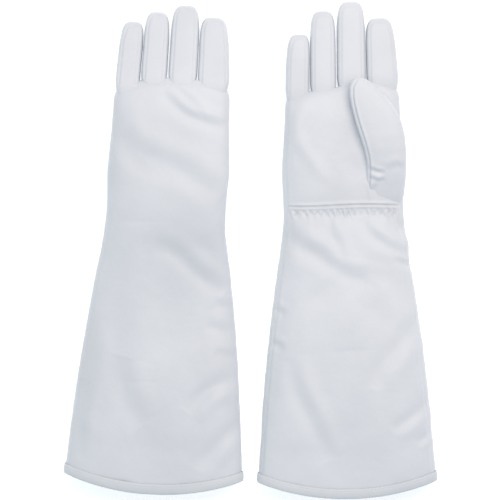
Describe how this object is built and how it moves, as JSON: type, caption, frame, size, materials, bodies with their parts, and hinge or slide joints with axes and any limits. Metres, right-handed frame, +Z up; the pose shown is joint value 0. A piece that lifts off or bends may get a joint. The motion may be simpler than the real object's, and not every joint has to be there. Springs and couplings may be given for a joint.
{
  "type": "cryogenic gloves",
  "caption": "Pair of long insulated gauntlet gloves with flared bound cuffs, laid flat side by side: right glove palm up with its thumb over the palm, left glove palm down.",
  "frame": {"origin": "bottom centre of the pair's bounding box, on the surface the gloves lie on", "axes": "+Y towards the fingertips, +X towards the right glove, +Z up from the surface"},
  "size_m": [0.436, 0.5824, 0.0485],
  "materials": {
    "coated_shell": "smooth coated woven fabric, soft satin",
    "insulation": "quilted fibre batting",
    "lining": "brushed knit",
    "binding": "folded coated fabric strip with a stitch line",
    "elastic": "woven elastic tape"
  },
  "bodies": {
    "right_cuff": {"right_cuff_back": "coated_shell", "right_cuff_palm": "coated_shell", "right_cuff_insulation": "insulation", "right_cuff_lining": "lining", "right_cuff_binding": "binding", "right_cuff_elastic": "elastic"},
    "right_hand": {"right_hand_back": "coated_shell", "right_hand_palm": "coated_shell", "right_hand_insulation": "insulation", "right_hand_lining": "lining"},
    "right_little": {"right_little_back": "coated_shell", "right_little_palm": "coated_shell", "right_little_sidewalls": "coated_shell", "right_little_liner": "insulation"},
    "right_ring": {"right_ring_back": "coated_shell", "right_ring_palm": "coated_shell", "right_ring_sidewalls": "coated_shell", "right_ring_liner": "insulation"},
    "right_middle": {"right_middle_back": "coated_shell", "right_middle_palm": "coated_shell", "right_middle_sidewalls": "coated_shell", "right_middle_liner": "insulation"},
    "right_index": {"right_index_back": "coated_shell", "right_index_palm": "coated_shell", "right_index_sidewalls": "coated_shell", "right_index_liner": "insulation"},
    "right_thumb": {"right_thumb_back": "coated_shell", "right_thumb_palm": "coated_shell", "right_thumb_liner": "insulation"},
    "left_cuff": {"left_cuff_back": "coated_shell", "left_cuff_palm": "coated_shell", "left_cuff_insulation": "insulation", "left_cuff_lining": "lining", "left_cuff_binding": "binding", "left_cuff_elastic": "elastic"},
    "left_hand": {"left_hand_back": "coated_shell", "left_hand_palm": "coated_shell", "left_hand_insulation": "insulation", "left_hand_lining": "lining"},
    "left_little": {"left_little_back": "coated_shell", "left_little_palm": "coated_shell", "left_little_sidewalls": "coated_shell", "left_little_liner": "insulation"},
    "left_ring": {"left_ring_back": "coated_shell", "left_ring_palm": "coated_shell", "left_ring_sidewalls": "coated_shell", "left_ring_liner": "insulation"},
    "left_middle": {"left_middle_back": "coated_shell", "left_middle_palm": "coated_shell", "left_middle_sidewalls": "coated_shell", "left_middle_liner": "insulation"},
    "left_index": {"left_index_back": "coated_shell", "left_index_palm": "coated_shell", "left_index_sidewalls": "coated_shell", "left_index_liner": "insulation"},
    "left_thumb": {"left_thumb_back": "coated_shell", "left_thumb_palm": "coated_shell", "left_thumb_liner": "insulation"}
  },
  "joints": [
    {"name": "right_wrist_bend", "type": "hinge", "parent": "right_cuff", "child": "right_hand", "pos_m": [0.10945, 0.04981, 0.0303], "axis": [0.9999, 0.0122, 0], "range_deg": [0, 35]},
    {"name": "right_little_bend", "type": "hinge", "parent": "right_hand", "child": "right_little", "pos_m": [0.05487, 0.19915, 0.0253], "axis": [0.9999, 0.0122, 0], "range_deg": [0, 60]},
    {"name": "right_ring_bend", "type": "hinge", "parent": "right_hand", "child": "right_ring", "pos_m": [0.08537, 0.19952, 0.0253], "axis": [0.9999, 0.0122, 0], "range_deg": [0, 60]},
    {"name": "right_middle_bend", "type": "hinge", "parent": "right_hand", "child": "right_middle", "pos_m": [0.11886, 0.19993, 0.0253], "axis": [0.9999, 0.0122, 0], "range_deg": [0, 60]},
    {"name": "right_index_bend", "type": "hinge", "parent": "right_hand", "child": "right_index", "pos_m": [0.15386, 0.20036, 0.0253], "axis": [0.9999, 0.0122, 0], "range_deg": [0, 60]},
    {"name": "right_thumb_open", "type": "hinge", "parent": "right_hand", "child": "right_thumb", "pos_m": [0.15305, 0.10126, 0.0395], "axis": [0, 0, -1], "range_deg": [0, 40]},
    {"name": "left_glove_shift", "type": "slide", "parent": "right_cuff", "child": "left_cuff", "axis": [-1, 0, 0], "range_m": [0, 0.15]},
    {"name": "left_wrist_bend", "type": "hinge", "parent": "left_cuff", "child": "left_hand", "pos_m": [-0.09799, 0.04975, 0.0488], "axis": [0.9988, -0.0489, 0], "range_deg": [0, 35]},
    {"name": "left_little_bend", "type": "hinge", "parent": "left_hand", "child": "left_little", "pos_m": [-0.14334, 0.20215, 0.0192], "axis": [-0.9988, 0.0489, 0], "range_deg": [0, 60]},
    {"name": "left_ring_bend", "type": "hinge", "parent": "left_hand", "child": "left_ring", "pos_m": [-0.11288, 0.20066, 0.0192], "axis": [-0.9988, 0.0489, 0], "range_deg": [0, 60]},
    {"name": "left_middle_bend", "type": "hinge", "parent": "left_hand", "child": "left_middle", "pos_m": [-0.07942, 0.19902, 0.0192], "axis": [-0.9988, 0.0489, 0], "range_deg": [0, 60]},
    {"name": "left_index_bend", "type": "hinge", "parent": "left_hand", "child": "left_index", "pos_m": [-0.04446, 0.19731, 0.0192], "axis": [-0.9988, 0.0489, 0], "range_deg": [0, 60]},
    {"name": "left_thumb_open", "type": "hinge", "parent": "left_hand", "child": "left_thumb", "pos_m": [-0.05932, 0.09884, 0.009], "axis": [0, 0, -1], "range_deg": [0, 40]}
  ]
}
